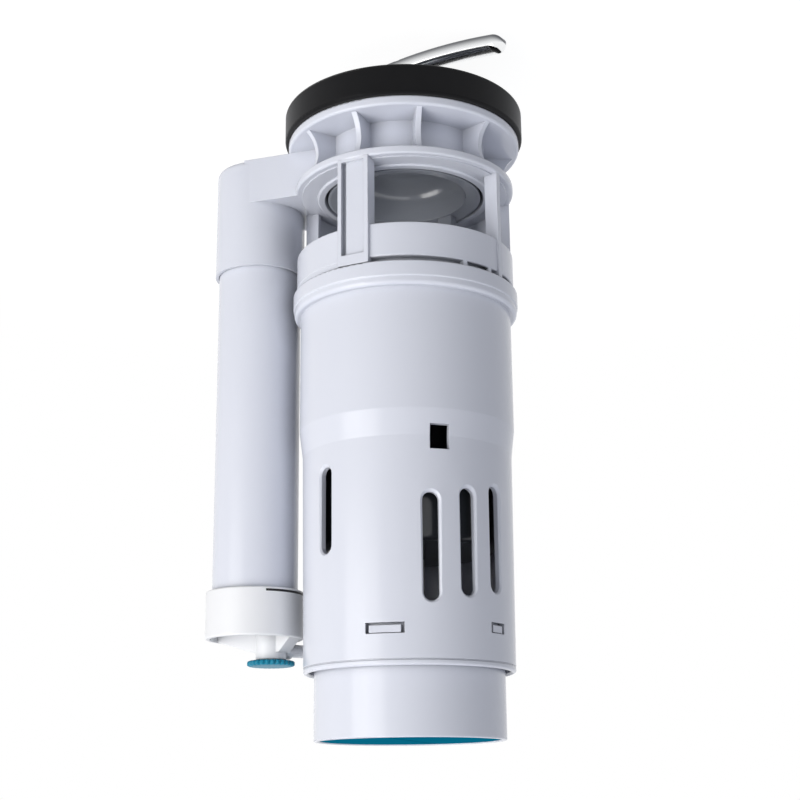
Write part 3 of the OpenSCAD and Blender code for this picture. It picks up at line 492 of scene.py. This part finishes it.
# %% [markdown]
# ## Return springs
#
# Each button is pushed back up by a coil spring of thin steel wire. Real springs have their last
# coils drawn together, so that they stand flat. A spiral is given that shape by a sine along its
# height, and a round wire is swept along it. On the real valve a spring shortens towards its deck
# when the button goes down; here each spring stays as it is wound.

# %% Spring rule
WIRE_R, COILS, CLOSED_ENDS = 0.5 * MM, 7, 0.55

tree, size = begin_rule("coil_spring", ["Radius", "Height", "Turns", "East", "North", "Foot"])
spiral = add(tree, "GeometryNodeCurveSpiral", {"Resolution": 40, "Rotations": size["Turns"],
                                               "Height": size["Height"], "Start Radius": size["Radius"],
                                               "End Radius": size["Radius"]})
along = add(tree, "GeometryNodeSplineParameter").outputs["Factor"]
along = calc(tree, "SINE", calc(tree, "MULTIPLY", along, math.tau))
along = calc(tree, "MULTIPLY", along, -CLOSED_ENDS / math.tau)
along = calc(tree, "MULTIPLY", along, size["Height"])
shift = add(tree, "ShaderNodeCombineXYZ", {"Z": along})
drawn = add(tree, "GeometryNodeSetPosition", {"Geometry": spiral.outputs[0], "Offset": shift.outputs[0]})
wire = add(tree, "GeometryNodeCurvePrimitiveCircle", {"Resolution": 14, "Radius": WIRE_R})
swept = add(tree, "GeometryNodeCurveToMesh", {"Curve": drawn.outputs[0], "Profile Curve": wire.outputs[0],
                                              "Fill Caps": True})
stand = add(tree, "ShaderNodeCombineXYZ", {"X": size["East"], "Y": size["North"], "Z": size["Foot"]})
put = add(tree, "GeometryNodeTransform", {"Geometry": swept.outputs[0], "Translation": stand.outputs[0]})
end_rule(tree, put.outputs[0], steel_plain)

for name, joint in (("full_spring", "full_press"), ("half_spring", "half_press")):
    low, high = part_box(name)
    middle = (low + high) / 2
    sizes = {"Radius": (high - low).x / 2 - WIRE_R, "Height": (high - low).z - 2 * WIRE_R, "Turns": COILS,
             "East": middle.x, "North": middle.y, "Foot": low.z + WIRE_R}
    spring = grow(name + "_wound", tree, sizes)
    stand_in(spring, "tower", "plain_steel", name)
    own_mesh(spring)

# %% [markdown]
# ## Clamp bar
#
# The bar is bent from one round-cornered length of steel, and its ends are rounded like fingertips.
# An arc is the path, a rounded rectangle is the section, and the section shrinks over the last few
# millimetres by the square root that makes a circle. Each point of the section keeps its height as the
# attribute "rise", from -1 at the underside to 1 at the top, for the steel to read. A cylinder then
# takes out the hole for the bolt.

# %% Clamp bar rule
BAR_ANGLE = math.radians(19)
BAR_W, BAR_T, BAR_CORNER, BAR_TIP = 9.6 * MM, 7.0 * MM, 2.2 * MM, 5.0 * MM
BAR_L, BAR_BOW = 115 * MM, 6 * MM
BAR_HOLE, TIP_LEAST = 4.4 * MM, 0.02
bar_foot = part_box("clamp_bar")[0].z
bow_r = ((BAR_L / 2) ** 2 + BAR_BOW ** 2) / (2 * BAR_BOW)
path_r = bow_r - BAR_T / 2
half_arc = math.asin(BAR_L / 2 / bow_r)

tree, size = begin_rule("bowed_bar", ["Radius", "Half arc", "Width", "Thickness", "Corner", "Tip"])
start = calc(tree, "SUBTRACT", -math.pi / 2, size["Half arc"])
whole = calc(tree, "MULTIPLY", size["Half arc"], 2.0)
arc = add(tree, "GeometryNodeCurveArc", {"Resolution": 320, "Radius": size["Radius"], "Start Angle": start,
                                         "Sweep Angle": whole})
section = add(tree, "GeometryNodeCurvePrimitiveQuadrilateral", {"Width": size["Thickness"],
                                                                "Height": size["Width"]})
section = add(tree, "GeometryNodeFilletCurve", {"Curve": section.outputs[0], "Radius": size["Corner"],
                                                "Count": 6, "Limit Radius": True}, mode="POLY")
# The section's own x axis points down on the finished bar
height = calc(tree, "MULTIPLY", calc(tree, "DIVIDE", position(tree)["X"], size["Thickness"]), -2.0)
section = add(tree, "GeometryNodeStoreNamedAttribute", {"Geometry": section.outputs[0], "Name": "rise",
                                                        "Value": height}, data_type="FLOAT", domain="POINT")
along = add(tree, "GeometryNodeSplineParameter").outputs["Factor"]
middle = calc(tree, "ABSOLUTE", calc(tree, "SUBTRACT", along, 0.5))
length = calc(tree, "MULTIPLY", whole, size["Radius"])
to_end = calc(tree, "MULTIPLY", calc(tree, "SUBTRACT", 0.5, middle), length)
share = calc(tree, "DIVIDE", to_end, size["Tip"], use_clamp=True)
share = calc(tree, "SUBTRACT", 1.0, share)
share = calc(tree, "SUBTRACT", 1.0, calc(tree, "MULTIPLY", share, share))
share = calc(tree, "MAXIMUM", calc(tree, "SQRT", share), TIP_LEAST)
bar = add(tree, "GeometryNodeCurveToMesh", {"Curve": arc.outputs[0], "Profile Curve": section.outputs[0],
                                            "Scale": share, "Fill Caps": True})
stood = add(tree, "GeometryNodeTransform", {"Geometry": bar.outputs[0],
                                            "Rotation": (math.pi / 2, 0, BAR_ANGLE),
                                            "Translation": (0, 0, bar_foot + bow_r)})
drill = add(tree, "GeometryNodeMeshCylinder", {"Vertices": 64, "Radius": BAR_HOLE, "Depth": 4 * BAR_T})
drill = add(tree, "GeometryNodeTransform", {"Geometry": drill.outputs["Mesh"],
                                            "Translation": (0, 0, bar_foot)})
drilled = add(tree, "GeometryNodeMeshBoolean", {"Mesh 1": stood.outputs[0], "Mesh 2": drill.outputs[0]},
              operation="DIFFERENCE", solver="EXACT")
end_rule(tree, drilled.outputs[0], steel_polished)

bar = grow("clamp_bar_rounded", tree, {"Radius": path_r, "Half arc": half_arc, "Width": BAR_W,
                                       "Thickness": BAR_T, "Corner": BAR_CORNER, "Tip": BAR_TIP})
stand_in(bar, "clamp", "polished_steel", "clamp_bar")

# %% [markdown]
# ## Level line
#
# A black line is printed round part of the cap, to show how high the water may stand. It is a thin
# ribbon of ink on the cap's round wall, swept along an arc.

# %% Level line rule
LINE_END, LINE_ARC = math.radians(-126.4), math.radians(77)
LINE_W, LINE_RISE, INK_T = 1.0 * MM, 1.5 * MM, 0.08 * MM
cap_low, cap_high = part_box("refill_cap")
tube_low, tube_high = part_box("overflow_tube")
cap_axis = (tube_low + tube_high) / 2
cap_r = cap_high.x - cap_axis.x

tree, size = begin_rule("printed_line", ["Radius", "Start", "Arc", "Width", "Thickness"])
arc = add(tree, "GeometryNodeCurveArc", {"Resolution": 60, "Radius": size["Radius"],
                                         "Start Angle": size["Start"], "Sweep Angle": size["Arc"]})
section = add(tree, "GeometryNodeCurvePrimitiveQuadrilateral", {"Width": size["Thickness"],
                                                                "Height": size["Width"]})
ribbon = add(tree, "GeometryNodeCurveToMesh", {"Curve": arc.outputs[0], "Profile Curve": section.outputs[0],
                                               "Fill Caps": True})
put = add(tree, "GeometryNodeTransform", {"Geometry": ribbon.outputs[0],
                                          "Translation": (cap_axis.x, cap_axis.y, cap_low.z + LINE_RISE)})
end_rule(tree, put.outputs[0], ink)

line = grow("level_line_printed", tree, {"Radius": cap_r, "Start": LINE_END - LINE_ARC, "Arc": LINE_ARC,
                                         "Width": LINE_W, "Thickness": INK_T})
stand_in(line, "base", "black_rubber")

# %% [markdown]
# ## Draw bolt
#
# A bolt's thread is one ridge that winds up the shank. A flat grid is bent round the shank, and each
# point stands out by a triangle wave of its height, shifted by its angle, which turns level rings
# into a screw. Near both ends of the thread the ridge fades out, as a cutting die leaves it.

# %% Bolt rule
BOLT_R, THREAD_DEPTH, THREAD_PITCH = 3.98 * MM, 0.62 * MM, 1.25 * MM
HEAD_AF, HEAD_H, THREAD_TOP, LAP = 13 * MM, 5 * MM, -1 * MM, 1 * MM
ROUND_STEPS, THREAD_STEPS = 48, 264
bolt_low, bolt_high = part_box("draw_bolt")
thread_l = THREAD_TOP - bolt_low.z
head_r, head_foot = HEAD_AF / 2 / math.cos(math.pi / 6), bolt_high.z - HEAD_H

tree, size = begin_rule("threaded_bolt", ["Radius", "Depth", "Pitch", "Length", "Foot"])
sheet = add(tree, "GeometryNodeMeshGrid", {"Size X": 1.0, "Size Y": 1.0, "Vertices X": ROUND_STEPS + 1,
                                           "Vertices Y": THREAD_STEPS + 1})
flat = position(tree)
angle = calc(tree, "MULTIPLY", flat["X"], math.tau)
climb = calc(tree, "MULTIPLY", calc(tree, "ADD", flat["Y"], 0.5), size["Length"])
wave = calc(tree, "SUBTRACT", calc(tree, "DIVIDE", climb, size["Pitch"]), flat["X"])
wave = calc(tree, "MULTIPLY", calc(tree, "PINGPONG", wave, 0.5), 2.0)
to_top = calc(tree, "SUBTRACT", size["Length"], climb)
fade = calc(tree, "MINIMUM", climb, to_top)
fade = calc(tree, "DIVIDE", fade, size["Pitch"], use_clamp=True)
wave = calc(tree, "MULTIPLY", calc(tree, "MULTIPLY", wave, fade), size["Depth"])
core = calc(tree, "SUBTRACT", size["Radius"], size["Depth"])
reach = calc(tree, "ADD", core, wave)
rise = calc(tree, "ADD", climb, size["Foot"])
whole = add(tree, "GeometryNodeJoinGeometry")
tree.links.new(bend_round(tree, sheet.outputs["Mesh"], angle, reach, rise), whole.inputs[0])
for sides, radius, low, high in ((64, BOLT_R - THREAD_DEPTH, bolt_low.z, THREAD_TOP + LAP),
                                 (64, BOLT_R, THREAD_TOP, head_foot + LAP),
                                 (6, head_r, head_foot, bolt_high.z)):
    rod = add(tree, "GeometryNodeMeshCylinder", {"Vertices": sides, "Radius": radius, "Depth": high - low})
    rod = add(tree, "GeometryNodeTransform", {"Geometry": rod.outputs["Mesh"],
                                              "Translation": (0, 0, (low + high) / 2)})
    tree.links.new(rod.outputs[0], whole.inputs[0])
end_rule(tree, whole.outputs[0], steel_plain)

bolt = grow("draw_bolt_threaded", tree, {"Radius": BOLT_R, "Depth": THREAD_DEPTH, "Pitch": THREAD_PITCH,
                                         "Length": thread_l, "Foot": bolt_low.z})
stand_in(bolt, "bolt", "plain_steel", "draw_bolt")
